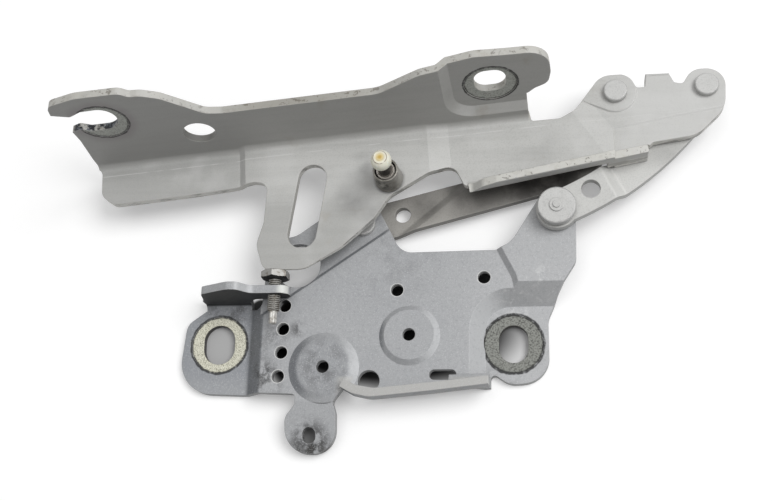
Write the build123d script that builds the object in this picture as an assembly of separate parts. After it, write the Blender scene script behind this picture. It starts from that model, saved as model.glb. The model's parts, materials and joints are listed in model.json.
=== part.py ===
from build123d import *
from math import atan2, cos, degrees, hypot, radians, sin, tan
import os

# A passive four-bar bonnet hinge of pressed steel, lying on its mounting face.
# Millimetres. The origin is the centre of the front body slot on the mounting face.
# +X runs to the rear body slot, +Y towards the bonnet and +Z up, along all pivot axes.

# Seats of primitives, and cutters that pass every sheet
on_base = (Align.CENTER, Align.CENTER, Align.MIN)
far_below = -60.0
far_above = 120.0
die_size = 520.0

# Sheets and gaps
sheet = 4.0                # both brackets
link_sheet = 4.0           # both links
layer_gap = 1.0            # between two sheets that turn on each other
axial_play = 0.1           # each side of a bush collar or washer
bush_clearance = 0.05      # radial, rivet shank in its bush
thread_clearance = 0.05    # radial, stop screw in its tapped tab
stop_gap = 0.1             # closed bracket over the stop screw head

# Body side: two pads, the raised main plate and the arm
pad_level = 0.0
plate_level = 9.0
arm_rise = 3.0
strip_drop = 1.6
rear_slot_x = 147.0
front_slot = (16.0, 20.0)
rear_slot = (14.0, 18.5)
pad_print = 28.6
flange_print = 25.3
print_depth = 0.25
wash_hole = 6.2
wash_at = ((35.2, 17.3), (34.9, 5.6), (34.6, -6.2), (33.6, -18.0), (91.1, 24.4), (133.5, 30.0))
dome_front = (56.2, -13.9)
dome_front_r = 17.4
dome_front_h = 2.6
dome_rear = (97.7, 1.6)
dome_rear_r = 14.8
dome_rear_h = 2.2
bay_at = (40.4, 38.4)      # round bay under the bonnet bracket's leg
bay_r = 11.4
round_hole_at = (78.5, -20.5)
round_hole_r = 5.3
long_hole_at = (114.0, -17.6)
long_hole = (13.0, 5.0)
tab_hole_at = (49.5, -45.8)
tab_hole = (6.4, 7.6)
edge_flange_h = 7.0        # upright edge flange above the main plate

# Pivots in the closed pose
pivot_a = (73.5, 59.0)     # front link on the body bracket
pivot_b = (169.0, 61.5)    # rear link on the body bracket
pivot_c = (198.5, 121.0)   # front link on the bonnet bracket
upper_span = (43.5, 1.5)   # from the front upper pivot to the rear upper pivot
pivot_d = (pivot_c[0] + upper_span[0], pivot_c[1] + upper_span[1])
shank_d = 7.0
bush_wall = 1.2
small_head_d = 11.4
small_head_h = 3.0
large_head_d = 18.4
large_head_h = 3.4
washer_thick = 1.6
washer_step = 0.7          # the washer's rim inside the wide head's rim
tail_d = 11.0
tail_h = 2.0
collar_over = 1.6          # bush collar past the bush wall, radial
boss_rise = 0.7            # raised round about the front upper pivot
boss_r = 10.7
front_link_hole = 8.0
rear_link_hole = 9.2
rear_link_w = 17.4
rear_link_bow = 7.6

# Bonnet side: web levels above the body plate and its upright flange
web_gap = 6.9              # body plate top to the middle web
left_step = 1.8            # middle web above the left web
right_step = 1.4           # middle web above the right web
joint_step = 1.5           # right web above the pivot plate
nose_tab_h = 13.0          # stop tab between the upper pivots, down from the plate's top
bend_at = (45.7, 100.7)    # middle of the bend line, at the middle web's top
bend_angle = 4.7
flange_lean = 9.0
left_joggle = (-36.8, -33.6)   # along the bend, from the left web up to the middle web
right_joggle = (60.0, 70.7)    # along the bend, from the middle web down to the right web
flange_rear = 111.0        # rear edge of the flange's foot, along the bend
bend_in = 4.0
flange_low = 32.5
flange_high = 45.7
hook_high = 57.7
pad_recess = 3.0
hook_throat = 10.6
hook_end_r = 8.2
hook_end = (-95.0, 39.0)   # round end of the hook slot, along and up the flange
pad_centre = (94.5, 27.6)  # rear bonnet slot, along and up the flange
bonnet_slot = (15.2, 16.0)
print_drop = 1.9           # bolt prints sit this much below the slots' centres
locating_at = (-51.7, 18.7)
rib_high = 11.0
rib_start = (127.4, 69.9)
rib_heading = 10.8
rib_straight = 67.5        # straight run, before the rib follows the bend down
rib_length = 87.2
rib_bend = 2.5
stop_edge = 32.8           # lower edge of the web's leg, which rests on the stop screw
web_slot_at = (46.5, 65.6)
web_slot_w = 14.6
web_slot_run = 29.6
locating_hole = 16.4

# Stop screw in its tab
stop_x = 31.5
stop_axis_rise = 7.4       # above the body plate top
stop_thread_d = 6.2
stop_head_af = 12.8
stop_head_h = 4.2
stop_thread_run = 16.2
stop_tip_d = 4.0
stop_tip_run = 6.0

# Gas strut ball stud
stud_at = (87.5, 78.3)
stud_d = 8.0
stud_end_d = 12.0
stud_end_h = 2.0
stud_foot_d = 9.4
sleeve_d = 14.0
sleeve_rim_d = 12.4
sleeve_h = 12.5
sleeve_floor = 2.5
sleeve_room = 0.5          # radial, round the stud's foot inside the sleeve
neck_d = 5.2
ball_r = 3.4
ball_rise = 24.0           # ball centre above the web
cap_r = 5.0
cap_flat_rise = 4.0        # the cap's flat top above the ball's centre
cap_centre_d = 3.4

# Levels that follow
pad_top = pad_level + sheet
plate_top = plate_level + sheet
lug_top = plate_top - strip_drop
lug_bottom = lug_top - sheet
arm_bottom = plate_level + arm_rise
arm_top = arm_bottom + sheet
rear_link_high = arm_top + layer_gap
web_mid = plate_top + web_gap
web_left = web_mid - left_step
web_right = web_mid - right_step
joint_plate = web_right - joint_step
rear_link_low = joint_plate - layer_gap - link_sheet
front_link_high = rear_link_low
front_link_low = lug_bottom - layer_gap - link_sheet
bore_r = shank_d / 2 + bush_clearance + bush_wall
washer_low = rear_link_high + link_sheet + axial_play


def outline(corners):
    """Closed face from corners (x, y, rounding radius)."""
    line = FilletPolyline([(x, y) for x, y, r in corners], radius=[r for x, y, r in corners], close=True)
    return make_face(line)


def from_point(point, corners):
    """Corners given from a named point."""
    return [(point[0] + x, point[1] + y, r) for x, y, r in corners]


def plate(face, bottom, thick):
    return extrude(Pos(0, 0, bottom) * face, amount=thick)


def disc(point, radius, low, thick):
    """Round disc about the upright axis through point."""
    return Pos(point[0], point[1], low) * Cylinder(radius, thick, align=on_base)


def drill(point, radius, low=far_below, high=far_above):
    return disc(point, radius, low, high - low)


def flat_die(top):
    """Flat die, wider than the hinge, before its steps are cut."""
    return Pos(120, 60, far_below) * Box(die_size, die_size, top - far_below, align=on_base)


def slope(point, heading, high, low, run, blend=3.0):
    """Cutter that lowers a die from high to low, beyond a line through point and across heading."""
    reach = die_size
    corners = [(-blend, high, 0), (0, high, blend), (run, low, blend), (reach, low, 0), (reach, far_above, 0),
               (-blend, far_above, 0)]
    turn = radians(heading)
    side = Plane(origin=(point[0], point[1], 0), x_dir=(cos(turn), sin(turn), 0),
                 z_dir=(sin(turn), -cos(turn), 0))
    return extrude(side * outline(corners), amount=reach, both=True)


def pressed(die, face, thick):
    """Sheet whose top is the die's top and whose underside is the same form, one sheet lower."""
    skin = die - Pos(0, 0, -thick) * die
    return skin & cutter(face)


def strip_face(start, heading, bottom, height, thick, bend, lean, leg):
    """Cross-section of an upright flange with its bend, at start and across heading in degrees."""
    turn = radians(heading)
    back = height * tan(radians(lean))
    wide = thick / cos(radians(lean))
    foot = wide + bend + leg
    corners = [(foot, 0, 0), (foot, thick, 0), (wide + thick * tan(radians(lean)), thick, bend),
               (wide + back, height, 0.6), (back, height, 0.6), (0, 0, bend + thick)]
    side = Plane(origin=(start[0], start[1], bottom), x_dir=(-sin(turn), cos(turn), 0),
                 z_dir=(cos(turn), sin(turn), 0))
    return side * outline(corners)


def bent_strip(start, end, bottom, height, thick, bend, lean=0.0, leg=3.0):
    """Upright flange with its bend. Its outer foot runs from start to end, the plate lies on the left."""
    length = hypot(end[0] - start[0], end[1] - start[1])
    heading = degrees(atan2(end[1] - start[1], end[0] - start[0]))
    return extrude(strip_face(start, heading, bottom, height, thick, bend, lean, leg), amount=length)


def one_solid(shape):
    """The single solid of a finished piece."""
    solids = shape.solids()
    return max(solids, key=lambda solid: solid.volume)


def obround(width, length, heading=90.0):
    """Slot face centred on the origin, its length along heading."""
    return Rot(0, 0, heading) * SlotOverall(length, width)


def cutter(face, low=far_below, high=far_above):
    """Column on a face that passes every sheet."""
    return extrude(Pos(0, 0, low) * face, amount=high - low)


def body_die():
    """Die for the body bracket: main plate, arm, dropped pads, lug strip and two domes."""
    top = plate_top
    die = flat_die(top)
    arm = outline([(137, 49, 0), (147.0, 29.0, 8), (151.0, 5, 0), (230, 5, 0), (230, 120, 0), (110, 120, 0),
                   (130, 62, 0)])
    die += extrude(Pos(0, 0, top) * arm, amount=arm_rise, taper=40)
    pad_edge = [(-13.5, -60, 0), (60, -60, 0), (60, 17.5, 0), (-13.5, 17.5, 13)]
    rear_pad = outline(from_point((rear_slot_x, 0), pad_edge))
    die -= extrude(Pos(0, 0, pad_top) * rear_pad, amount=plate_level + arm_rise + 2, taper=-38)
    die -= slope((24, 0), 180, top, pad_top, 8.5)
    die -= slope((40, -30.0), 270, top, top - 12.0, 44.0)
    die -= slope((70.9, 44.5), 124.5, top, lug_top, 1.8, 0.6)
    dome = extrude(Pos(*dome_front, top) * Circle(dome_front_r), amount=dome_front_h, taper=60)
    die += fillet(dome.edges().group_by(Axis.Z)[-1], 6.0)
    die += extrude(Pos(*dome_rear, top) * Circle(dome_rear_r), amount=dome_rear_h, taper=50)
    return die


def body_outline():
    """Plan outline of the body bracket without its upright tabs."""
    ax, ay = pivot_a
    bx, by = pivot_b
    rx = rear_slot_x
    corners = [
        (-8.0, 17.5, 2), (-17.6, 10.5, 7), (-20.4, -24.4, 17), (42.8, -26.6, 2.0), (42.6, -31.5, 3),
        (37.6, -37.5, 6), (37.4, -54.3, 11.6), (62.4, -54.3, 11.6), (62.6, -35.5, 3), (61.2, -30.5, 2),
        (66.5, -24.0, 0), (72.0, -26.4, 0), (79.0, -28.0, 0), (111.0, -25.2, 0), (rx - 11.0, -22.2, 0),
        (rx - 11.0, -14.6, 2), (rx - 2.0, -20.8, 10), (rx + 16.9, -19.4, 13),
        (rx + 16.6, 11.0, 10), (rx + 21.5, 22.0, 6), (bx + 8.6, by - 25.0, 8), (bx + 9.2, by + 9.6, 9.2),
        (bx - 7.4, by + 9.6, 8), (bx - 23.9, by - 17.6, 13), (ax + 19.3, ay - 15.5, 9),
        (ax + 4.9, ay + 12.0, 9.5), (ax - 9.0, ay + 13.5, 10), (38.5, 54.0, 12), (25.0, 52.0, 10),
        (23.0, 17.5, 3), (19.6, 16.5, 1.6), (16.2, 17.5, 1.6)]
    return outline(corners)


def stop_tab():
    """Tab that rises from the front pad and carries the stop screw over the main plate."""
    near = 20.5
    axis_z = plate_top + stop_axis_rise
    end = stop_x + 8.0
    corners = [(-7.8, 8.0, 0), (-4.6, 25.0, 4), (10.5, 33.0, 7), (15.5, 32.6, 4), (20.5, axis_z + 5.2, 5),
               (end, axis_z + 5.2, 5), (end, axis_z - 5.0, 5), (20.0, axis_z - 5.6, 4), (15.8, 8.0, 0)]
    side = Plane(origin=(0, near, 0), x_dir=(1, 0, 0), z_dir=(0, -1, 0))
    upright = extrude(side * outline(corners), amount=-sheet)
    root = bent_strip((15.8, near + sheet), (-7.8, near + sheet), pad_level, 12.0, sheet, 3.0)
    return upright + root


def lower_flange():
    """Stiffening flange along the lower edge of the body bracket."""
    right = rear_slot_x - 11.0
    band = outline([
        (65.6, -24.2, 0), (71.6, -27.6, 8), (80.0, -29.4, 14), (111.0, -26.3, 60), (right, -23.3, 0),
        (right, -19.3, 0), (111.0, -22.3, 60), (82.0, -25.2, 10), (73.4, -23.6, 8), (67.6, -20.6, 0)])
    foot = 2.4
    wall = plate(band, plate_level + foot, sheet + edge_flange_h - foot)
    wall += extrude(Pos(0, 0, plate_level + foot) * band, amount=-foot, taper=38)
    wide_from = 117.0
    low = plate_level + 1.0
    high = plate_top + edge_flange_h - 0.4
    side = Plane(origin=(wide_from, 0, 0), x_dir=(0, 1, 0), z_dir=(1, 0, 0))
    wide_bend = outline([(-26.0, low, 0), (-17.2, low, 0), (-17.2, plate_top + 0.3, 0),
                         (-20.8, plate_top + 2.4, 5), (-23.0, high, 0), (-26.0, high, 0)])
    return wall + (extrude(side * wide_bend, amount=right - wide_from) & cutter(body_outline()))


def lower_bracket():
    body = pressed(body_die(), body_outline(), sheet)
    body += stop_tab()
    body += lower_flange()
    body -= cutter(obround(*front_slot, heading=92))
    body -= Pos(rear_slot_x, -1.0, 0) * cutter(obround(*rear_slot))
    for x in (0, rear_slot_x):
        body -= disc((x, 0), pad_print / 2, pad_top - print_depth, sheet)
    for point in wash_at + (dome_front, dome_rear):
        body -= drill(point, wash_hole / 2)
    body -= drill(bay_at, bay_r)
    above_plate = plate_top + 0.5
    body -= drill(round_hole_at, round_hole_r, high=above_plate)
    body -= Pos(*long_hole_at, 0) * cutter(SlotOverall(*long_hole), high=above_plate)
    body -= Pos(*tab_hole_at, 0) * cutter(obround(*tab_hole))
    for pivot in (pivot_a, pivot_b):
        body -= drill(pivot, shank_d / 2)
    tapped = Rot(90, 0, 0) * Cylinder(stop_thread_d / 2 + thread_clearance, 90)
    body -= Pos(stop_x, 0, plate_top + stop_axis_rise) * tapped
    return one_solid(body)


def web_profile(level):
    """Cross-section of web, bend and flange for one web level, seen along the bend."""
    lean = radians(flange_lean)
    top = level + sheet
    rise = 70.0
    start = (top - (web_mid + sheet)) * tan(lean)
    back = sheet / cos(lean)
    end = start + rise * tan(lean)
    return outline([(-110, level, 0), (-110, top, 0), (start, top, bend_in), (end, top + rise, 0),
                    (end + back, top + rise, 0), (start + back - sheet * tan(lean), level, bend_in + sheet)])


def bend_frame(u):
    """Plane across the bend line at distance u from its middle, with x across and y up."""
    turn = radians(bend_angle)
    place = (bend_at[0] + u * cos(turn), bend_at[1] + u * sin(turn), 0)
    return Plane(origin=place, x_dir=(-sin(turn), cos(turn), 0), z_dir=(cos(turn), sin(turn), 0))


def bent_blank():
    """Bent sheet with its two joggles, before its outlines are cut."""
    stations = [(-120, web_left), (left_joggle[0], web_left), (left_joggle[1], web_mid),
                (right_joggle[0], web_mid), (right_joggle[1], web_right), (flange_rear, web_right)]
    blank = None
    for (u0, level0), (u1, level1) in zip(stations, stations[1:]):
        first = bend_frame(u0) * web_profile(level0)
        if level0 == level1:
            piece = extrude(first, amount=u1 - u0, dir=bend_frame(u0).z_dir)
        else:
            piece = loft([first, bend_frame(u1) * web_profile(level1)], ruled=True)
        blank = piece if blank is None else blank + piece
    return blank


def flange_plane():
    """Plane of the flange's near face: x along the bend, y up the flange."""
    heading, lean = radians(bend_angle), radians(flange_lean)
    normal = (sin(heading) * cos(lean), -cos(heading) * cos(lean), sin(lean))
    return Plane(origin=(*bend_at, web_mid + sheet), x_dir=(cos(heading), sin(heading), 0), z_dir=normal)


def flange_outline():
    """Flange seen square on: hook at the front, low middle, raised pad at the rear, open below."""
    return outline([
        (-112.4, -12.0, 0), (-112.8, 6.0, 20), (-112.0, 24.0, 20), (-112.8, 33.8, 2), (-117.4, 45.4, 5),
        (-116.2, hook_high - 3.4, 5), (-101.2, hook_high + 0.3, 14), (-79.0, hook_high, 6),
        (-75.0, hook_high - 3.4, 3), (-69.6, hook_high - 3.8, 10), (-61.4, hook_high - 7.6, 14),
        (-43.8, flange_low + 1.4, 8), (-35.8, flange_low, 10), (41.3, flange_low, 14),
        (62.4, flange_low + 10.2, 12), (72.6, flange_high - 1.2, 6), (88.5, flange_high + 1.8, 12),
        (flange_rear, flange_high - 0.2, 0), (flange_rear, -12.0, 0)])


def hook_slot():
    """Open-ended slot in the hook, with a round end and a narrower throat, cut square to the flange."""
    x, y = hook_end
    throat = x - 13.6
    low = y + 5.3 - hook_throat
    mouth = outline([
        (x, y + hook_end_r, 0), (x - 8.0, y + hook_end_r - 0.2, 3), (throat, low + hook_throat, 2.5),
        (throat - 8.8, low + hook_throat + 3.1, 0), (x - 40.0, y + 14.0, 0), (x - 40.0, y - 14.0, 0),
        (throat - 4.4, low - 1.9, 0), (throat + 0.3, low, 2), (x - 8.4, y - hook_end_r, 3),
        (x, y - hook_end_r, 0)])
    return Pos(x, y) * Circle(hook_end_r) + mouth


def web_outline():
    """Plan outline of the web, the leg that meets the stop screw and the arch over the body lug."""
    sx = stop_x
    return outline([
        (-75.0, 135.0, 0), (-75.0, 93.8, 0), (-64.7, 88.9, 4), (-63.5, 75.0, 6), (-56.2, 70.1, 6),
        (-17.4, 73.9, 60), (7.3, 76.9, 60), (17.9, 79.4, 3), (25.4, 78.4, 5), (24.7, 57.4, 10),
        (21.5, 46.0, 10), (25.9, stop_edge, 5), (sx + 15.2, stop_edge, 12), (64.1, 43.4, 20),
        (80.5, 58.4, 10), (87.5, 69.4, 12), (106.9, 81.3, 12), (119.4, 85.0, 5.5), (125.2, 73.0, 2),
        (129.9, 76.6, 0), (165.0, 82.6, 0), (165.0, 135.0, 0)])


def bonnet_front():
    """Web and flange as one bent sheet, cut to both outlines."""
    blank = bent_blank()
    blank &= cutter(web_outline())
    blank &= extrude(flange_plane() * flange_outline(), amount=140, both=True)
    return blank


def joint_outline():
    """Plan outline of the pivot plate behind the bend, with both pivot lobes and the stop tab's saddle."""
    cx, cy = pivot_c
    dx, dy = pivot_d
    return outline([
        (132.0, 112.7, 0), (132.0, 84.6, 0), (150.0, 84.6, 0), (dx - 37.0, dy - 28.5, 0),
        (dx - 28.0, dy - 29.9, 0), (dx - 26.5, dy - 28.4, 2), (dx - 5.6, dy - 25.4, 12), (dx + 8.2, dy - 12.0, 14),
        (dx + 9.6, dy + 9.4, 9), (dx - 6.5, dy + 9.4, 8), (dx - 11.0, dy + 1.8, 2), (dx - 15.1, cy + 4.2, 1),
        (dx - 17.1, cy + 8.4, 0),
        (cx + 15.1, cy + 8.4, 0), (cx + 14.4, cy + 2.4, 1), (cx + 10.0, cy + 2.3, 2), (cx + 7.0, cy + 9.6, 7),
        (cx - 6.9, cy + 9.3, 9.5), (cx - 20.0, cy - 9.1, 10), (cx - 27.0, cy - 13.1, 6), (157.6, 107.1, 1.5),
        (156.3, 112.7, 0)])


def joint_die():
    """Die for the pivot plate: right web, bend down to the pivots, boss round the front pivot."""
    top = web_right + sheet
    die = flat_die(top)
    low = joint_plate + sheet
    die -= slope((179.5, 107.7), 34, top, low, 11.0, 6.0)
    bead = slope((pivot_d[0] - 46.0, pivot_d[1] - 20.1), -80, low, low - 0.5, 1.2, 1.0)
    die -= bead & Pos(pivot_c[0] + 33.5, pivot_c[1] - 26, 0) * Box(70, 60, far_above, align=on_base)
    boss = Circle(boss_r + boss_rise)
    outwards = Rot(0, 0, 155) * Pos(boss_r, 0) * Rectangle(2 * boss_r, 2 * (boss_r + boss_rise))
    place = Pos(pivot_c[0], pivot_c[1], low - boss_rise)
    die += extrude(place * (boss + outwards), amount=2 * boss_rise, taper=45)
    return die


def stop_nose_tab():
    """Tab bent back between the upper pivots, which the front link meets fully open."""
    left = pivot_c[0] + 15.1
    right = pivot_d[0] - 17.1
    high = pivot_c[1] + 11.6
    side = Plane(origin=(right, high, joint_plate + sheet), x_dir=(0, -1, 0), z_dir=(-1, 0, 0))
    corners = [(0, 0, 6.0), (9.5, 0, 0), (9.5, -sheet, 0), (sheet, -sheet, 2.0), (sheet, -nose_tab_h, 0),
               (0, -nose_tab_h, 0)]
    return extrude(side * outline(corners), amount=right - left)


def flange_end():
    """Rear end of the flange, which overhangs the web."""
    top = flange_high
    return outline([
        (103.4, 14.5, 0), (111.6, 14.5, 1.5), (115.3, 17.9, 3), (121.7, 20.9, 6), (123.3, 29.8, 14),
        (122.1, top - 0.4, 11), (103.4, top + 0.5, 0)])


def flange_pad(grow=0.0):
    """Zone of the flange that is pressed back round the rear bonnet slot."""
    low = 4.6 - grow
    left = 71.4 - grow
    return outline([(left, low, 14), (left, 70.0, 0), (140.0, 70.0, 0), (140.0, low, 0)])


def along_rib(run):
    """Point on the rib's outer foot at a distance from its start."""
    turn = radians(rib_heading)
    return (rib_start[0] + run * cos(turn), rib_start[1] + run * sin(turn))


def rib():
    """Lower flange of the bonnet bracket. It follows the web down, its front end runs out."""
    knee = along_rib(rib_straight)
    place = Pos(*knee) * Rot(0, 0, rib_heading)
    body = bent_strip(rib_start, knee, web_right, rib_high, sheet, rib_bend, leg=0.5)
    wide_end = along_rib(rib_straight - 7.5)
    body += bent_strip(rib_start, wide_end, web_right, rib_high, sheet, rib_bend, leg=9.0)
    rest = rib_length - rib_straight
    inner = sheet + rib_bend
    overlap = sheet - 0.5
    apron = outline([(-10.0, inner, 0), (0, inner, 0), (0, overlap, 0), (rest, overlap, 0), (rest, 12, 0),
                     (-10.0, 12, 0)])
    body += pressed(joint_die(), place * apron, sheet)
    wall = outline([(0, 0, 0), (rest, 0, 1.0), (rest, sheet, 1.0), (0, sheet, 0)])
    raised = Pos(0, 0, rib_high - sheet) * joint_die() - Pos(0, 0, -sheet) * joint_die()
    body += raised & cutter(place * wall)
    side = Plane(origin=(0, 80, 0), x_dir=(1, 0, 0), z_dir=(0, -1, 0))
    top = web_right + sheet
    run_out = outline([(118, top + 0.4, 0), (128.6, top + 0.8, 3), (134.0, top + 5.6, 4),
                       (142.5, top + rib_high - sheet + 0.4, 0), (142.5, far_above, 0), (118, far_above, 0)])
    return body - extrude(side * run_out, amount=30)


def upper_bracket():
    face = flange_plane()
    body = bonnet_front()
    body += extrude(face * flange_end(), amount=-sheet)
    pad = extrude(face * Pos(0, 0, -sheet) * flange_pad(1.0), amount=-pad_recess, taper=57)
    body += pad & extrude(face * (flange_outline() + flange_end()), amount=-20)
    body -= extrude(face * flange_pad(), amount=-pad_recess, taper=57)
    body += pressed(joint_die(), joint_outline(), sheet)
    body += rib()
    body += stop_nose_tab()
    body -= extrude(face * hook_slot(), amount=30, both=True)
    body -= extrude(face * Pos(*locating_at) * Circle(locating_hole / 2), amount=30, both=True)
    bolt_slot = RectangleRounded(bonnet_slot[0], bonnet_slot[1], 6)
    body -= extrude(face * Pos(*pad_centre) * bolt_slot, amount=30, both=True)
    for point, depth in ((hook_end, 0.0), (pad_centre, pad_recess)):
        print_face = Pos(point[0], point[1] - print_drop, -depth - print_depth) * Circle(flange_print / 2)
        body -= extrude(face * print_face, amount=sheet)
    web_slot = obround(web_slot_w, web_slot_run + web_slot_w, heading=82.5)
    body -= Pos(*web_slot_at, 0) * cutter(web_slot)
    for pivot in (pivot_c, pivot_d):
        body -= drill(pivot, shank_d / 2)
    body -= drill(stud_at, stud_d / 2)
    return one_solid(body)


def front_link_outline():
    """Plan outline of the front link: round ends and an elbow below the front upper pivot."""
    ax, ay = pivot_a
    cx, cy = pivot_c
    bar = outline([
        (ax + 4.0, ay - 8.0, 0), (187.5, 79.6, 26), (cx + 9.2, cy - 6.0, 0), (cx - 8.8, cy + 6.0, 0),
        (176.5, 95.4, 14), (ax - 2.6, ay + 10.2, 0)])
    face = bar + Pos(ax, ay) * Circle(10.6) + Pos(cx, cy) * Circle(11.0)
    return face + Pos(cx + 4.3, cy - 10.7) * Circle(4.3)


def front_link():
    """Long link that dips under the body lug and rises twice to the bonnet bracket."""
    face = front_link_outline()
    top = front_link_high + link_sheet
    mid = front_link_low + link_sheet + 3.5
    low = front_link_low + link_sheet
    die = flat_die(top)
    die -= slope((176.0, 91.0), 200, top, mid, 8.0)
    die -= slope((107.2, 63.6), 130, mid, low, 4.0, 1.5)
    body = pressed(die, face, link_sheet)
    body -= drill(pivot_a, bore_r)
    body -= drill(pivot_c, bore_r)
    body -= drill((92.0, 65.6), front_link_hole / 2)
    return one_solid(body)


def rear_link():
    """Short link, bowed clear of the front link, that drops towards the bonnet bracket."""
    bx, by = pivot_b
    dx, dy = pivot_d
    length = hypot(dx - bx, dy - by)
    along = ((dx - bx) / length, (dy - by) / length)
    mid = ((bx + dx) / 2 + along[1] * rear_link_bow, (by + dy) / 2 - along[0] * rear_link_bow)
    path = ThreePointArc(pivot_b, mid, pivot_d)
    face = trace(path, line_width=rear_link_w) + Pos(bx, by) * Circle(10.0) + Pos(dx, dy) * Circle(9.4)
    top = rear_link_high + link_sheet
    die = flat_die(top)
    die -= slope((194.0, 73.9), 26, top, rear_link_low + link_sheet, 5.0)
    body = pressed(die, face, link_sheet)
    body -= drill(pivot_b, bore_r)
    body -= drill(pivot_d, bore_r)
    body -= drill((185.3, 71.0), rear_link_hole / 2)
    return one_solid(body)


def rivet(pivot, low, high, head_d, head_h, mark=False):
    """Rivet with its head above high and its closed tail below low."""
    head = disc(pivot, head_d / 2, high, head_h)
    head = chamfer(head.edges().group_by(Axis.Z)[-1], 0.5)
    tail = disc(pivot, tail_d / 2, low - tail_h, tail_h)
    tail = chamfer(tail.edges().group_by(Axis.Z)[0], 0.6)
    body = disc(pivot, shank_d / 2, low, high - low) + head + tail
    if mark:
        body += disc(pivot, 3.4, high + head_h, 0.8)
        body += disc(pivot, 1.8, high + head_h + 0.8, 0.7)
    return one_solid(body)


def bush(pivot, link_low, bracket_low):
    """Bush pressed into a link, whose collar on top keeps the link clear of the bracket above."""
    link_top = link_low + link_sheet
    body = disc(pivot, bore_r, link_low, link_sheet)
    body += disc(pivot, bore_r + collar_over, link_top, bracket_low - axial_play - link_top)
    body -= drill(pivot, shank_d / 2 + bush_clearance)
    return one_solid(body)


def bush_b():
    """Rear lower bush. Its collar is below, since the link lies on the arm."""
    collar_low = arm_top + axial_play
    body = disc(pivot_b, bore_r, rear_link_high, link_sheet)
    body += disc(pivot_b, bore_r + collar_over, collar_low, rear_link_high - collar_low)
    body -= drill(pivot_b, shank_d / 2 + bush_clearance)
    return one_solid(body)


def washer_b():
    """Washer between the rear link and the wide rivet head."""
    body = disc(pivot_b, large_head_d / 2 - washer_step, washer_low, washer_thick)
    body -= drill(pivot_b, shank_d / 2 + bush_clearance)
    return one_solid(body)


def rivet_d_lower():
    """Lower half of the rear upper rivet, flush with the top of its bush collar."""
    top = joint_plate - axial_play
    body = disc(pivot_d, shank_d / 2, rear_link_low - axial_play, top - rear_link_low + axial_play)
    body += disc(pivot_d, tail_d / 2, rear_link_low - axial_play - tail_h, tail_h)
    return one_solid(body)


def rivet_d_upper():
    """Upper half of the rear upper rivet, flush with the underside of the bracket."""
    top = joint_plate + sheet
    body = disc(pivot_d, shank_d / 2, joint_plate, sheet)
    head = disc(pivot_d, small_head_d / 2, top, small_head_h)
    body += chamfer(head.edges().group_by(Axis.Z)[-1], 0.5)
    return one_solid(body)


def ball_stud():
    """Stud with its riveted end, foot, neck and ball in one."""
    web_top = web_mid + sheet
    centre = web_top + ball_rise
    foot_top = web_top + sleeve_h - 1.0
    body = disc(stud_at, stud_d / 2, web_mid, sheet + sleeve_floor)
    body += disc(stud_at, stud_end_d / 2, web_mid - stud_end_h, stud_end_h)
    body += disc(stud_at, stud_foot_d / 2, web_top + sleeve_floor, foot_top - web_top - sleeve_floor)
    shoulder = Cone(stud_foot_d / 2, neck_d / 2, 3.0, align=on_base)
    body += Pos(stud_at[0], stud_at[1], foot_top) * shoulder
    body += disc(stud_at, neck_d / 2, foot_top, centre - foot_top)
    body += Pos(stud_at[0], stud_at[1], centre) * Sphere(ball_r)
    return one_solid(body)


def stud_sleeve():
    """Sleeve round the stud's foot, standing on the web."""
    web_top = web_mid + sheet
    body = Pos(*stud_at, web_top) * Cone(sleeve_d / 2, sleeve_rim_d / 2, sleeve_h, align=on_base)
    body -= disc(stud_at, stud_foot_d / 2 + sleeve_room, web_top + sleeve_floor, sleeve_h)
    body -= drill(stud_at, stud_d / 2)
    return one_solid(body)


def ball_cap():
    """Ivory cap snapped over the ball, open below for the neck and flat on top."""
    centre = web_mid + sheet + ball_rise
    mouth = (cap_r ** 2 - ball_r ** 2) ** 0.5
    body = Pos(stud_at[0], stud_at[1], centre) * Sphere(cap_r)
    body -= disc(stud_at, 2 * cap_r, centre + cap_flat_rise, cap_r)
    body -= disc(stud_at, 2 * cap_r, centre - mouth - cap_r, cap_r)
    body -= disc(stud_at, ball_r, centre - cap_r, cap_r + ball_r)
    body -= disc(stud_at, cap_centre_d / 2, centre, cap_r)
    return one_solid(body)


def cap_centre():
    """Ochre plug in the cap's flat top, resting on the ball."""
    ball_top = web_mid + sheet + ball_rise + ball_r
    return one_solid(disc(stud_at, cap_centre_d / 2, ball_top, cap_flat_rise + 0.15 - ball_r))


def stop_screw():
    """Hex screw in the stop tab, its head under the bracket's leg and its drive tip below."""
    head_top = stop_edge - stop_gap
    axis = Plane(origin=(stop_x, head_top, plate_top + stop_axis_rise), x_dir=(1, 0, 0), z_dir=(0, -1, 0))
    hexagon = Rot(0, 0, 30) * RegularPolygon(stop_head_af / 2, 6, major_radius=False)
    body = extrude(axis * hexagon, amount=stop_head_h)
    body &= extrude(axis * Circle(stop_head_af / 2 + 0.9), amount=stop_head_h)
    body += extrude(axis * Circle(stop_thread_d / 2), amount=stop_head_h + stop_thread_run)
    body += extrude(axis * Circle(stop_tip_d / 2), amount=stop_head_h + stop_thread_run + stop_tip_run)
    return one_solid(body)


def write(name, body):
    body.label = name
    export_step(body, "parts/" + name + ".step")


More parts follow.
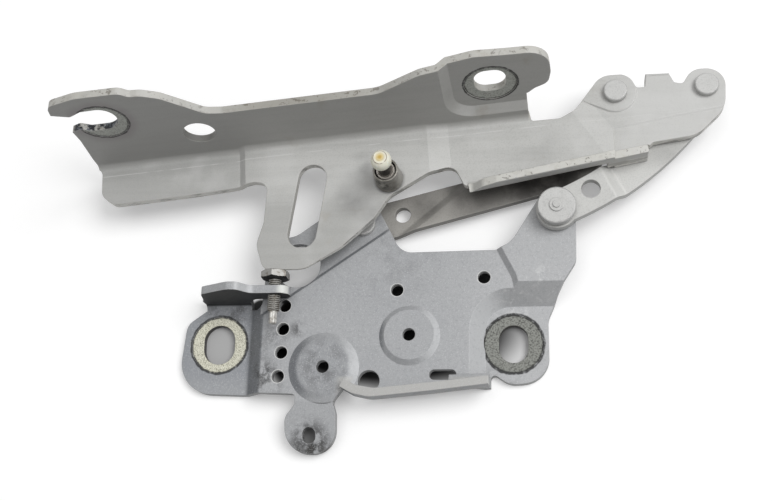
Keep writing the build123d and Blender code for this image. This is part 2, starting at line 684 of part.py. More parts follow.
def main():
    os.makedirs("parts", exist_ok=True)
    write("lower_bracket", lower_bracket())
    write("upper_bracket", upper_bracket())
    write("front_link", front_link())
    write("rear_link", rear_link())
    write("rivet_a", rivet(pivot_a, front_link_low - axial_play, lug_top, small_head_d, small_head_h))
    washer_top = washer_low + washer_thick
    write("rivet_b", rivet(pivot_b, arm_bottom, washer_top, large_head_d, large_head_h, mark=True))
    boss_top = joint_plate + sheet + boss_rise
    write("rivet_c", rivet(pivot_c, front_link_high - axial_play, boss_top, small_head_d, small_head_h))
    write("rivet_d_upper", rivet_d_upper())
    write("rivet_d_lower", rivet_d_lower())
    write("bush_a", bush(pivot_a, front_link_low, lug_bottom))
    write("bush_b", bush_b())
    write("bush_c", bush(pivot_c, front_link_high, joint_plate + boss_rise))
    write("bush_d", bush(pivot_d, rear_link_low, joint_plate))
    write("washer_b", washer_b())
    write("ball_stud", ball_stud())
    write("stud_sleeve", stud_sleeve())
    write("ball_cap", ball_cap())
    write("cap_centre", cap_centre())
    write("stop_screw", stop_screw())


main()
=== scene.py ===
import json
from math import cos, pi, radians, sin

import bmesh
import bpy
from mathutils import Matrix, Vector


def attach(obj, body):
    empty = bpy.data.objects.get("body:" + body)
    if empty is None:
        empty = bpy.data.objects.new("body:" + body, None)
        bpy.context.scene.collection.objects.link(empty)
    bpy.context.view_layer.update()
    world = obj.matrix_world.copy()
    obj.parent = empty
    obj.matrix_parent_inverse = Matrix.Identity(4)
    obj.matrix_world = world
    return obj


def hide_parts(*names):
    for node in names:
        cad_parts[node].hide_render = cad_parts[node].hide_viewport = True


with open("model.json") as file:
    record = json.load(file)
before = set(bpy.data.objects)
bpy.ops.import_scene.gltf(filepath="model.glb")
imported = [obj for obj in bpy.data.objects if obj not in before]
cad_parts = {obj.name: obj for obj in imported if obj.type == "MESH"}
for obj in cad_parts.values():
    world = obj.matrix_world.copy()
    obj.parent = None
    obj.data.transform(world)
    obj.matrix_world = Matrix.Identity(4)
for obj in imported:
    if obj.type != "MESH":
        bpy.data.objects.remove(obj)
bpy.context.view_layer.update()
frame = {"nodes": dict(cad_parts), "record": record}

# Looks of a pressed-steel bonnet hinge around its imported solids. Metres, in the model's own frame.
# Tones are linear red, green and blue.

nodes = frame["nodes"]

# Camera and light
camera_at = (0.17525, -0.12387, 0.52217)
camera_right = (0.98585, 0.02898, -0.16509)
camera_back = (0.16588, -0.31019, 0.93609)
photo_width = 772
focal_pixels = 1100.0
sensor_width = 36.0
look_at = Vector((0.085, 0.045, 0.012))
key_way = (0.52, 0.14, 0.84)
key_distance = 3.2
key_size = 2.0
key_power = 65.0
top_way = (-0.15, 0.10, 1.0)
top_distance = 3.0
top_size = 2.0
top_power = 14.0
ambient_level = 0.36

# Floor, and the body bracket's deep shade on it: centre, reach each way, and the share of paleness left there
floor_reach = 3.0
floor_level = -0.0002
floor_glow = 0.26
floor_dull = 0.34
floor_pale = (0.80, 0.80, 0.80)
floor_dark = (0.01, 0.01, 0.01)
shade_inner = 0.70         # full shade within this share of the reach
shade_outer = 1.05         # no shade beyond this share of the reach
floor_shades = (
    (0.085, 0.008, 0.075, 0.034, 0.06),      # main plate
    (0.0, 0.0, 0.018, 0.020, 0.55),          # front slot
    (0.147, -0.001, 0.017, 0.018, 1.0),      # rear slot, where only the floor's glow goes
    (0.035, 0.003, 0.012, 0.028, 0.06),      # row of wash holes
    (0.1325, 0.031, 0.013, 0.011, 0.08),     # rearmost wash hole
    (0.0195, 0.0205, 0.006, 0.0045, 0.10),   # notch of the stop tab
    (0.0485, -0.0440, 0.008, 0.008, 0.35))   # bottom tab's hole

# Directions and places on the part, also used by the materials
east, north, up = (1, 0, 0), (0, 1, 0), (0, 0, 1)
pad_top = 0.004
plate_top = 0.013
web_top = 0.0239
bend_turn = radians(4.7)
flange_lean = radians(9.0)
flange_normal = (sin(bend_turn) * cos(flange_lean), -cos(bend_turn) * cos(flange_lean), sin(flange_lean))
flange_along = (cos(bend_turn), sin(bend_turn), 0.0)
flange_up = (-sin(flange_lean) * sin(bend_turn), sin(flange_lean) * cos(bend_turn), cos(flange_lean))
flange_origin = (0.0457, 0.1007, web_top)
web_across = (-sin(bend_turn), cos(bend_turn), 0.0)
rib_start = (0.1274, 0.0699, 0.0)
rib_turn = radians(10.8)
rib_across = (-sin(rib_turn), cos(rib_turn), 0.0)
front_pad = (0.0, 0.0, pad_top)
rear_pad = (0.147, -0.001, pad_top)
front_dome = (0.0562, -0.0139)
stud_axis = (0.0875, 0.0783, 0.0)
cap_top = 0.0519
wash_holes = ((0.0352, 0.0173), (0.0349, 0.0056), (0.0346, -0.0062), (0.0336, -0.0180), (0.0911, 0.0244),
              (0.1335, 0.0300))

# Base tones of the sheets and of the small metal pieces
body_zinc = (0.385, 0.39, 0.40)
bonnet_zinc = (0.47, 0.47, 0.455)
front_link_zinc = (0.31, 0.30, 0.28)
rear_link_zinc = (0.52, 0.52, 0.505)
rivet_tone = (0.45, 0.45, 0.44)
bush_tone = (0.30, 0.22, 0.11)
washer_tone = (0.38, 0.38, 0.37)
blush_tone = (0.70, 0.58, 0.30)     # where the cap's ivory and its ochre centre meet

# Grain of the metals, and bump depth and edge rounding of all pieces
grain_scale = 1500.0
bump_depth = 0.0003
bevel_samples = 6

# Dirt, scuffs, oil and painted shade: centre, inner radius, outer radius and amount
body_dirt_spots = (
    ((0.0275, -0.0175, 0.010), 0.003, 0.011, 0.80), ((0.0425, 0.0055, 0.013), 0.001, 0.006, 0.70),
    ((0.0320, 0.003, 0.013), 0.002, 0.009, 0.45), ((0.0235, -0.004, 0.008), 0.002, 0.014, 0.35),
    ((0.0495, -0.0458, 0.006), 0.004, 0.013, 0.70), ((0.0510, -0.0500, 0.006), 0.003, 0.012, 0.85),
    ((0.028, -0.022, 0.008), 0.004, 0.014, 0.45), ((*front_dome, 0.015), 0.003, 0.019, 0.45),
    ((0.090, 0.040, 0.013), 0.004, 0.030, 0.15), ((0.004, 0.019, 0.004), 0.004, 0.018, 0.55),
    ((0.1404, -0.0185, 0.004), 0.002, 0.012, 0.40))
body_scuffs = (
    ((0.150, 0.022, 0.010), 0.004, 0.020, 0.55), ((0.163, 0.026, 0.016), 0.002, 0.012, 0.5),
    ((0.0336, -0.018, 0.013), 0.003, 0.008, 0.6))
web_smudges = (
    ((0.0745, 0.0840, 0.0239), 0.001, 0.013, 0.45), ((0.0700, 0.0690, 0.0239), 0.001, 0.014, 0.40),
    ((0.0800, 0.0600, 0.0239), 0.001, 0.012, 0.30), ((0.1615, 0.0914, 0.0225), 0.003, 0.020, 0.15),
    ((stud_axis[0], stud_axis[1], web_top), 0.0070, 0.0085, 0.70))
# Front link: oil, and painted shade where the bonnet bracket's web and rib lie over it
front_link_oil_and_shade = (
    ((0.162, 0.088, 0.012), 0.012, 0.038, 0.92), ((0.128, 0.074, 0.009), 0.004, 0.022, 0.55),
    ((0.104, 0.070, 0.009), 0.002, 0.013, 0.60))
rear_link_oil = (((0.222, 0.098, 0.014), 0.004, 0.022, 0.35),)

# Washer prints: ground, spots and rim tones, scale of the spots and their amount
front_pad_look = ((0.70, 0.69, 0.58), (0.16, 0.15, 0.10), (0.030, 0.030, 0.030), 2300.0, 0.80)
rear_pad_look = ((0.25, 0.255, 0.235), (0.035, 0.035, 0.03), (0.015, 0.015, 0.015), 1100.0, 0.72)
flange_look = ((0.40, 0.41, 0.38), (0.08, 0.08, 0.07), (0.008, 0.008, 0.008), 1300.0, 0.55)
pad_print_r = 0.0143
flange_print_r = 0.01265
print_soft = 0.0003

# Stop screw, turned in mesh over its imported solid
screw_at = (0.0315, 0.0327, 0.0204)
screw_way = (0, -1, 0)
head_h = 0.0041
head_flat = 0.0064
head_corner = 0.0073
head_face_r = 0.0061
head_chamfer = 0.0007
chamfer_steps = 4
under_face_h = 0.0002       # thin round face under the head
under_face_r = (0.0057, 0.0056)
thread_r = 0.0031
thread_root_r = 0.00300     # where the thread leaves the head
thread_depth = 0.00055
thread_pitch = 0.0010
thread_run = 0.0163
thread_start = 0.00005
thread_rows = 130
thread_fill = 1.35          # ridges are cut flat at the top by this
thread_fade = 0.0008        # run over which the thread fades at its free end
thread_end_drop = 0.0003
tip_r = 0.0020
tip_run = 0.0060
tip_chamfer = 0.0004
lobes = 6
lobe_depth = 0.00013
screw_sides = 72

# Sleeve, turned in mesh: height above the web and radius, round its cross-section
sleeve_sides = 72
sleeve_profile = (
    (0.0, 0.00402), (0.0, 0.00672), (0.00025, 0.00695), (0.0013, 0.00698), (0.0015, 0.00678),
    (0.0017, 0.00684), (0.0108, 0.00626), (0.0110, 0.00618), (0.0112, 0.00626), (0.0121, 0.00622),
    (0.0124, 0.00606), (0.0125, 0.00585), (0.0125, 0.00548), (0.0122, 0.00520), (0.0025, 0.00520),
    (0.0025, 0.00402))

# Ball stud, turned in mesh: height above its riveted end and radius, up to the ball
stud_sides = 64
stud_low = 0.0179
stud_profile = (
    (0.0, 0.0052), (0.0003, 0.0057), (0.0007, 0.0060), (0.0020, 0.0060), (0.0020, 0.0040),
    (0.0085, 0.0040), (0.0085, 0.0047), (0.0150, 0.0047), (0.0152, 0.0045), (0.0154, 0.0047),
    (0.0172, 0.0047), (0.0175, 0.00445), (0.0175, 0.0038), (0.0171, 0.00362), (0.0171, 0.00345),
    (0.0176, 0.0033), (0.0205, 0.0026), (0.0262, 0.0026))
ball_rise = 0.0300
ball_r = 0.0034
ball_first = -40            # degrees from the ball's equator, where it leaves the neck
ball_sweep = 124            # degrees
ball_steps = 8

# Edges of turned pieces sharper than this stay sharp
crease = radians(32)


def on_flange(along, height, depth=0.0):
    """Point on the flange's near face, moved back by depth."""
    return tuple(flange_origin[i] + along * flange_along[i] + height * flange_up[i] - depth * flange_normal[i]
                 for i in range(3))


hook_end = on_flange(-0.0950, 0.0390)
hook_print_at = on_flange(-0.0950, 0.0371)
pad_print_at = on_flange(0.0945, 0.0257, 0.003)
locating_hole = on_flange(-0.0517, 0.0187)


class Paint:
    """One procedural material and short ways to build its nodes."""

    def __init__(self, name):
        self.material = bpy.data.materials.new(name)
        self.material.use_nodes = True
        self.tree = self.material.node_tree
        self.tree.nodes.clear()
        self.output = self.add("ShaderNodeOutputMaterial")
        self.shader = self.add("ShaderNodeBsdfPrincipled")
        self.tree.links.new(self.shader.outputs[0], self.output.inputs[0])
        place = self.add("ShaderNodeTexCoord")
        self.place = place.outputs["Object"]
        self.normal = place.outputs["Normal"]

    def add(self, kind, **settings):
        node = self.tree.nodes.new(kind)
        for key, value in settings.items():
            setattr(node, key, value)
        return node

    def put(self, socket, value):
        if isinstance(value, bpy.types.NodeSocket):
            self.tree.links.new(value, socket)
        elif isinstance(value, (tuple, list)) and socket.type == "RGBA" and len(value) == 3:
            socket.default_value = (*value, 1.0)
        else:
            socket.default_value = value

    def math(self, operation, a, b=0.0, clamp=False):
        node = self.add("ShaderNodeMath", operation=operation, use_clamp=clamp)
        self.put(node.inputs[0], a)
        self.put(node.inputs[1], b)
        return node.outputs[0]

    def vector(self, operation, source, value):
        node = self.add("ShaderNodeVectorMath", operation=operation)
        self.put(node.inputs[0], source)
        node.inputs[1].default_value = value
        return node

    def ramp(self, value, start, end, low=0.0, high=1.0):
        """Smooth step of value from start to end, between low and high."""
        node = self.add("ShaderNodeMapRange", interpolation_type="SMOOTHSTEP")
        self.put(node.inputs["Value"], value)
        falling = start > end
        node.inputs["From Min"].default_value = end if falling else start
        node.inputs["From Max"].default_value = start if falling else end
        node.inputs["To Min"].default_value = high if falling else low
        node.inputs["To Max"].default_value = low if falling else high
        return node.outputs["Result"]

    def noise(self, scale, detail=3.0, rough=0.55, distortion=0.0, place=None):
        node = self.add("ShaderNodeTexNoise")
        self.put(node.inputs["Vector"], place or self.place)
        node.inputs["Scale"].default_value = scale
        node.inputs["Detail"].default_value = detail
        node.inputs["Roughness"].default_value = rough
        node.inputs["Distortion"].default_value = distortion
        return node.outputs[0]

    def stretched(self, along, amount):
        """Position scaled down along one axis, for streaks that run that way."""
        node = self.add("ShaderNodeMapping")
        self.put(node.inputs["Vector"], self.place)
        scale = [1.0, 1.0, 1.0]
        scale[along] = amount
        node.inputs["Scale"].default_value = scale
        return node.outputs[0]

    def distance(self, point):
        return self.vector("DISTANCE", self.place, point).outputs["Value"]

    def from_line(self, across, point):
        """Distance from a line along one axis, where across and point are both 0 along that axis."""
        flat = self.vector("MULTIPLY", self.place, across)
        return self.vector("DISTANCE", flat.outputs[0], point).outputs["Value"]

    def along(self, direction, source=None):
        return self.vector("DOT_PRODUCT", source or self.place, direction).outputs["Value"]

    def near(self, point, inner, outer, wobble=None):
        """1 within inner of a point, 0 beyond outer."""
        far = self.distance(point)
        if wobble is not None:
            far = self.math("ADD", far, wobble)
        return self.ramp(far, outer, inner)

    def both(self, a, b):
        return self.math("MULTIPLY", a, b)

    def outside(self, mask):
        return self.math("SUBTRACT", 1.0, mask, clamp=True)

    def past(self, direction, point):
        """How far a place lies past a point, along a direction."""
        return self.math("SUBTRACT", self.along(direction), sum(a * b for a, b in zip(direction, point)))

    def band(self, value, low, high, soft=0.0003):
        """1 where a value lies between low and high."""
        return self.both(self.ramp(value, low - soft, low + soft), self.ramp(value, high + soft, high - soft))

    def tint(self, colour, mask, amount, other):
        """Colour turned towards another by an amount, where the mask is 1."""
        return self.mix(self.math("MULTIPLY", mask, amount), colour, other)

    def edge_on(self, direction, low=0.25, high=0.5):
        """1 where the surface stands across a direction, such as a sheet's cut edge."""
        facing = self.math("ABSOLUTE", self.along(direction, self.normal))
        return self.ramp(facing, high, low)

    def mix(self, factor, a, b):
        node = self.add("ShaderNodeMix", data_type="RGBA")
        self.put(node.inputs[0], factor)
        self.put(node.inputs[6], a)
        self.put(node.inputs[7], b)
        return node.outputs[2]

    def blend(self, factor, a, b):
        node = self.add("ShaderNodeMix", data_type="FLOAT")
        self.put(node.inputs[0], factor)
        self.put(node.inputs[2], a)
        self.put(node.inputs[3], b)
        return node.outputs[0]

    def rounded(self, radius):
        """Normal with the sharp edges rounded."""
        node = self.add("ShaderNodeBevel", samples=bevel_samples)
        node.inputs["Radius"].default_value = radius
        return node.outputs[0]

    def wear(self, radius=0.0009):
        """1 on convex and concave edges, from the difference between rounded and true normals."""
        true = self.add("ShaderNodeNewGeometry")
        node = self.add("ShaderNodeVectorMath", operation="DOT_PRODUCT")
        self.put(node.inputs[0], self.rounded(radius))
        self.put(node.inputs[1], true.outputs["True Normal"])
        return self.ramp(node.outputs["Value"], 0.995, 0.86)

    def finish(self, colour, roughness, height, strength, metallic=0.0, edge=0.0006, gloss=0.5):
        """Set the shader, with fine bumps from height on softly rounded edges."""
        self.put(self.shader.inputs["Base Color"], colour)
        self.shader.inputs["Specular IOR Level"].default_value = gloss
        self.put(self.shader.inputs["Roughness"], roughness)
        self.shader.inputs["Metallic"].default_value = metallic
        bump = self.add("ShaderNodeBump")
        bump.inputs["Strength"].default_value = strength
        bump.inputs["Distance"].default_value = bump_depth
        self.put(bump.inputs["Height"], height)
        self.put(bump.inputs["Normal"], self.rounded(edge))
        self.put(self.shader.inputs["Normal"], bump.outputs[0])
        return self.material


def speckled(p, tone, dark, light, spread):
    """Phosphated zinc: cloudy tone with fine light and dark grains."""
    cloud = p.ramp(p.noise(28.0, 4.0, 0.6), 0.30, 0.72)
    grain = p.noise(grain_scale, 2.0, 0.6)
    colour = p.tint(tone, cloud, spread, light)
    colour = p.tint(colour, p.ramp(grain, 0.52, 0.30), 0.30, dark)
    return p.tint(colour, p.ramp(grain, 0.55, 0.75), 0.25, light)


def scaled(tone, factor, most=1.0):
    return tuple(min(most, factor * c) for c in tone)


def wobble(p, scale, size):
    """Small random shift of a distance, for ragged rims."""
    return p.math("MULTIPLY", p.math("SUBTRACT", p.noise(scale, 3.0), 0.5), size)


def washer_print(p, colour, height, centre, radius, facing, look):
    """Rough ring that a bolt's washer left round a slot, with its dark rim."""
    ground, spot, rim_tone, spot_scale, amount = look
    ragged = p.math("ADD", p.distance(centre), wobble(p, 350.0, 0.0012))
    inside = p.both(p.ramp(ragged, radius + print_soft, radius - print_soft), facing)
    spots = p.ramp(p.noise(spot_scale, 4.0, 0.7), 0.46, 0.58)
    large = p.ramp(p.noise(0.25 * spot_scale, 3.0, 0.6), 0.35, 0.65, 0.55, 1.0)
    fill = p.tint(ground, p.both(spots, large), amount, spot)
    colour = p.mix(inside, colour, fill)
    near_rim = p.band(ragged, radius - 0.0006, radius + 0.0009, print_soft)
    broken = p.ramp(p.noise(420.0, 3.0, 0.6), 0.30, 0.50, 0.45, 1.0)
    colour = p.tint(colour, p.both(p.both(near_rim, broken), facing), 0.92, rim_tone)
    rough = p.math("MULTIPLY", p.noise(700.0, 4.0, 0.7), 3.0)
    return colour, p.blend(inside, height, rough)


def tint_round_points(p, colour, spots, texture, tone):
    """Tint round places: dirt, scuffs, oil and painted shade, each (centre, inner radius, outer radius,
    amount).
    """
    for centre, inner, outer, amount in spots:
        colour = p.tint(colour, p.both(p.near(centre, inner, outer), texture), amount, tone)
    return colour


def body_ground(p):
    """Body bracket's zinc, darker on the front pad, the main plate and the front dome, paler on the arm."""
    colour = speckled(p, body_zinc, (0.22, 0.228, 0.24), (0.47, 0.475, 0.48), 0.5)
    on_left = p.both(p.ramp(p.along(east), 0.030, 0.018), p.ramp(p.along(up), 0.0085, 0.0055))
    low_edge = p.ramp(p.along(north), -0.012, -0.024)
    pad_tone = p.mix(low_edge, (0.25, 0.262, 0.285), (0.33, 0.34, 0.355))
    fine = p.ramp(p.noise(2100.0, 2.0, 0.6), 0.58, 0.70)
    pad_tone = p.tint(pad_tone, fine, 0.35, (0.44, 0.45, 0.46))
    colour = p.tint(colour, on_left, 0.9, pad_tone)
    on_right = p.ramp(p.along(east), 0.120, 0.160)
    colour = p.tint(colour, on_right, 0.5, (0.45, 0.455, 0.46))
    on_plate = p.ramp(p.along(east), 0.140, 0.110)
    colour = p.tint(colour, on_plate, 0.35, (0.30, 0.308, 0.32))
    on_dome = p.near((*front_dome, 0.0156), 0.010, 0.019)
    return p.tint(colour, on_dome, 0.35, (0.22, 0.23, 0.245))


def body_forms(p, colour):
    """Body bracket's cut edges, pressed steps with painted shade and highlight on their slopes, and lower
    flange.
    """
    stop_tab_top = p.both(p.band(p.along(north), 0.0203, 0.0247), p.ramp(p.along(up), 0.0160, 0.0180))
    lower_flange = p.both(p.ramp(p.along(north), -0.0180, -0.0200), p.ramp(p.along(up), 0.0135, 0.0145))
    lower_flange = p.both(lower_flange, p.ramp(p.along(east), 0.062, 0.066))
    upright = p.math("MAXIMUM", stop_tab_top, lower_flange)
    side_cut = p.both(p.edge_on(up), p.outside(upright))
    side_cut = p.both(side_cut, p.ramp(p.along(north), 0.048, 0.040))
    colour = p.tint(colour, side_cut, 0.30, (0.44, 0.44, 0.42))
    black_spots = p.ramp(p.noise(360.0, 4.0, 0.7), 0.56, 0.66)
    right_third = p.band(p.along(east), 0.100, 0.134, 0.012)
    flange_face = p.both(lower_flange, p.edge_on(up))
    colour = p.tint(colour, p.both(p.both(black_spots, right_third), flange_face), 0.7, (0.03, 0.03, 0.03))
    # Painted shade on the pressed steps' slopes that face left
    on_steps = p.band(p.along(east), 0.010, 0.085, 0.002)
    painted_shade_left_faces = p.both(p.ramp(p.along(east, p.normal), -0.12, -0.45), on_steps)
    colour = p.tint(colour, p.both(painted_shade_left_faces, p.ramp(p.along(up), 0.0040, 0.0060)), 0.85, (0.15, 0.158, 0.17))
    # Painted highlight on slopes that face right
    painted_highlight_right_faces = p.both(p.ramp(p.along(east, p.normal), 0.10, 0.50), p.ramp(p.along(up, p.normal), 0.30, 0.50))
    colour = p.tint(colour, painted_highlight_right_faces, 0.45, (0.66, 0.67, 0.68))
    mottle = p.ramp(p.noise(620.0, 5.0, 0.75), 0.50, 0.66)
    colour = p.tint(colour, mottle, 0.22, (0.16, 0.168, 0.18))
    end_face = p.both(lower_flange, p.ramp(p.along(east, p.normal), 0.6, 0.9))
    colour = p.tint(colour, end_face, 0.8, (0.68, 0.68, 0.66))
    top_edge = p.both(lower_flange, p.ramp(p.along(up, p.normal), 0.7, 0.9))
    return p.tint(colour, top_edge, 0.55, (0.47, 0.46, 0.43))


def body_dirt(p, colour):
    """Body bracket's grime and scuffs, painted highlight round the wash holes' rims and worn edges."""
    dirt = p.ramp(p.noise(130.0, 5.0, 0.65, 0.25), 0.42, 0.60)
    colour = tint_round_points(p, colour, body_dirt_spots, dirt, (0.050, 0.050, 0.050))
    low_rim = p.both(p.ramp(p.along(north), -0.0465, -0.0530), p.ramp(p.noise(260.0, 4.0, 0.7), 0.35, 0.60))
    colour = p.tint(colour, low_rim, 0.80, (0.050, 0.048, 0.045))
    scuffs = p.ramp(p.noise(170.0, 6.0, 0.75, 0.3), 0.52, 0.66)
    colour = tint_round_points(p, colour, body_scuffs, scuffs, (0.66, 0.665, 0.66))
    # Painted highlight: a pale ring on each wash hole's rounded rim
    for x, y in wash_holes:
        ring = p.band(p.distance((x, y, plate_top)), 0.0030, 0.0035, 0.0001)
        colour = p.tint(colour, ring, 0.75, (0.66, 0.66, 0.65))
    flecks = p.ramp(p.noise(1900.0, 2.0, 0.6), 0.58, 0.66)
    colour = p.tint(colour, flecks, 0.38, (0.62, 0.63, 0.64))
    return p.tint(colour, p.wear(), 0.35, (0.52, 0.53, 0.53))


def body_tab_and_slots(p, colour):
    """Painted shade on the stop tab's front and on the walls of the body slots, and the bright end of the
    stop tab.
    """
    # Painted shade, near black, on the stop tab's front face
    painted_tab_shade = p.both(p.band(p.along(north), 0.0140, 0.0255), p.ramp(p.along(north, p.normal), -0.55, -0.85))
    painted_tab_shade = p.both(painted_tab_shade, p.ramp(p.along(east), 0.046, 0.044))
    painted_tab_shade = p.both(painted_tab_shade, p.ramp(p.along(up), 0.0045, 0.0060))
    colour = p.tint(colour, painted_tab_shade, 0.93, (0.012, 0.013, 0.015))
    tab_end = p.both(p.near((0.0385, 0.0225, 0.0250), 0.003, 0.006), p.ramp(p.along(up, p.normal), 0.2, 0.6))
    colour = p.tint(colour, tab_end, 0.75, (0.68, 0.69, 0.66))
    # Painted shade on the inner walls of both pad slots
    for pad, slot_reach in ((front_pad, 0.0122), (rear_pad, 0.0112)):
        painted_wall_shade = p.both(p.near(pad, slot_reach, slot_reach + 0.0006), p.edge_on(up))
        colour = p.tint(colour, painted_wall_shade, 0.85, (0.045, 0.040, 0.035))
    return colour


def zinc_body():
    """Body bracket: bluish grey zinc, washer prints on both pads, grime at the wash holes and the tab."""
    p = Paint("zinc_body")
    colour = body_tab_and_slots(p, body_dirt(p, body_forms(p, body_ground(p))))
    height = p.noise(1100.0, 3.0, 0.6)
    flat = p.ramp(p.along(up, p.normal), 0.7, 0.9)
    for pad, look in ((front_pad, front_pad_look), (rear_pad, rear_pad_look)):
        colour, height = washer_print(p, colour, height, pad, pad_print_r, flat, look)
    return p.finish(colour, 0.52, height, 0.22, metallic=0.1, gloss=0.2)


def bonnet_ground(p, beyond_web):
    """Bonnet bracket's zinc: darker flange, leg and front end, paler pivot plate, brushed and stained."""
    colour = speckled(p, bonnet_zinc, (0.29, 0.29, 0.28), (0.53, 0.53, 0.515), 0.35)
    on_flange_face = p.both(p.ramp(beyond_web, -0.0030, -0.0005), p.ramp(p.along(east), 0.172, 0.170))
    colour = p.tint(colour, on_flange_face, 0.55, (0.33, 0.325, 0.31))
    leg = p.both(p.ramp(p.along(north), 0.076, 0.062), p.ramp(p.along(east), 0.100, 0.085))
    colour = p.tint(colour, leg, 0.45, (0.30, 0.30, 0.29))
    brushed = p.noise(260.0, 4.0, 0.6, 0.0, p.stretched(0, 0.06))
    colour = p.tint(colour, p.ramp(brushed, 0.42, 0.66), 0.18, (0.30, 0.30, 0.285))
    stain = p.noise(60.0, 5.0, 0.65, 0.3)
    colour = p.tint(colour, p.ramp(stain, 0.60, 0.78), 0.35, (0.30, 0.265, 0.215))
    colour = p.tint(colour, p.ramp(p.along(east), 0.030, 0.000), 0.35, (0.25, 0.25, 0.245))
    return p.tint(colour, p.ramp(p.along(east), 0.185, 0.220), 0.55, (0.54, 0.54, 0.53))


def bonnet_edges(p, colour, on_upright):
    """Bonnet bracket's cut edges: beige, with brown dirt on the flange's top and specks on the rib's."""
    past_rib = p.past(rib_across, rib_start)
    on_rib = p.both(p.ramp(past_rib, 0.0055, 0.0045), p.band(p.along(east), 0.124, 0.214))
    on_rib = p.both(on_rib, p.ramp(p.along(up), 0.0222, 0.0230))
    flat_cut = p.both(p.edge_on(up), p.outside(p.math("MAXIMUM", on_upright, on_rib)))
    upright_cut = p.both(p.edge_on(flange_normal), on_upright)
    rib_top = p.both(on_rib, p.ramp(p.along(up, p.normal), 0.6, 0.85))
    cut = p.math("MAXIMUM", p.math("MAXIMUM", flat_cut, upright_cut), rib_top)
    edge_spots = p.ramp(p.noise(240.0, 5.0, 0.7), 0.50, 0.68)
    beige = p.tint((0.60, 0.59, 0.54), edge_spots, 0.5, (0.33, 0.30, 0.24))
    brown_runs = p.both(upright_cut, p.ramp(p.noise(70.0, 4.0, 0.7), 0.48, 0.60))
    colour = p.tint(colour, brown_runs, 0.35, (0.30, 0.27, 0.22))
    colour = p.tint(colour, cut, 0.50, beige)
    worn = p.both(upright_cut, p.band(p.along(east), 0.010, 0.085, 0.03))
    colour = p.tint(colour, worn, 0.55, (0.22, 0.21, 0.185))
    edge_dirt = p.both(upright_cut, p.ramp(p.noise(300.0, 5.0, 0.7), 0.56, 0.62))
    colour = p.tint(colour, edge_dirt, 0.60, (0.10, 0.085, 0.065))
    rib_specks = p.both(rib_top, p.ramp(p.noise(520.0, 3.0, 0.6), 0.60, 0.65))
    return p.tint(colour, rib_specks, 0.65, (0.10, 0.085, 0.07)), flat_cut


def bonnet_slopes(p, colour, flat_cut):
    """Painted highlight and shade on the joggles' slopes, and painted light on the lower cut, with its dark
    line.
    """
    # Painted highlight on slopes that face right, painted shade on those that face left
    painted_highlight_right_faces = p.both(p.ramp(p.along(east, p.normal), 0.03, 0.20), p.ramp(p.along(up, p.normal), 0.40, 0.60))
    colour = p.tint(colour, painted_highlight_right_faces, 0.20, (0.70, 0.70, 0.69))
    painted_shade_left_faces = p.both(p.ramp(p.along(east, p.normal), -0.08, -0.30), p.ramp(p.along(up, p.normal), 0.60, 0.80))
    colour = p.tint(colour, painted_shade_left_faces, 0.15, (0.24, 0.24, 0.235))
    # Painted light: the lower cut edges, which face the front, made pale
    painted_light_low_cut = p.both(flat_cut, p.ramp(p.along(north, p.normal), -0.2, -0.6))
    colour = p.tint(colour, painted_light_low_cut, 0.75, (0.80, 0.79, 0.75))
    dark_line = p.ramp(p.noise(160.0, 4.0, 0.7, 0.0, p.stretched(0, 0.3)), 0.50, 0.60)
    return p.tint(colour, p.both(painted_light_low_cut, dark_line), 0.55, (0.10, 0.095, 0.09))


def bonnet_marks(p, colour, on_upright, beyond_web):
    """Wall of the locating hole, bright line at the bend's foot, smudges round the stud and bright clouds."""
    in_hole = p.both(p.near(locating_hole, 0.0095, 0.0105), p.edge_on(flange_normal, 0.5, 0.8))
    colour = p.tint(colour, in_hole, 0.8, (0.16, 0.158, 0.15))
    bend_foot = p.both(p.band(beyond_web, -0.0062, -0.0058, 0.0002), p.ramp(p.along(up, p.normal), 0.7, 0.9))
    broken = p.ramp(p.noise(90.0, 2.0, 0.5), 0.36, 0.55)
    bend_foot = p.both(bend_foot, p.ramp(p.along(east), 0.190, 0.165, 0.35, 1.0))
    colour = p.tint(colour, p.both(bend_foot, broken), 0.55, (0.66, 0.66, 0.65))
    smudges = p.ramp(p.noise(60.0, 3.0, 0.5, 0.1), 0.32, 0.60)
    colour = tint_round_points(p, colour, web_smudges, smudges, (0.13, 0.128, 0.13))
    bright = p.ramp(p.noise(45.0, 3.0, 0.5, 0.1), 0.46, 0.66)
    return p.tint(colour, p.both(bright, p.outside(on_upright)), 0.30, (0.58, 0.58, 0.57))


def bonnet_prints(p, colour, height):
    """Washer prints on the flange, the stain round the hook's and the grease in its throat."""
    front = p.ramp(p.along(flange_normal, p.normal), 0.8, 0.95)
    halo = p.both(p.near(hook_print_at, 0.0128, 0.0195, wobble(p, 120.0, 0.004)), front)
    colour = p.tint(colour, halo, 0.35, (0.16, 0.125, 0.14))
    for centre in (hook_print_at, pad_print_at):
        colour, height = washer_print(p, colour, height, centre, flange_print_r, front, flange_look)
    throat = p.both(p.edge_on(flange_normal), p.near(hook_end, 0.017, 0.0195))
    grease = p.both(throat, p.ramp(p.noise(220.0, 4.0, 0.6), 0.40, 0.50))
    thin_grease = p.ramp(p.noise(500.0, 3.0), 0.5, 0.62)
    grease_tone = p.tint((0.02, 0.022, 0.026), thin_grease, 0.6, (0.20, 0.22, 0.25))
    return p.mix(grease, colour, grease_tone), height


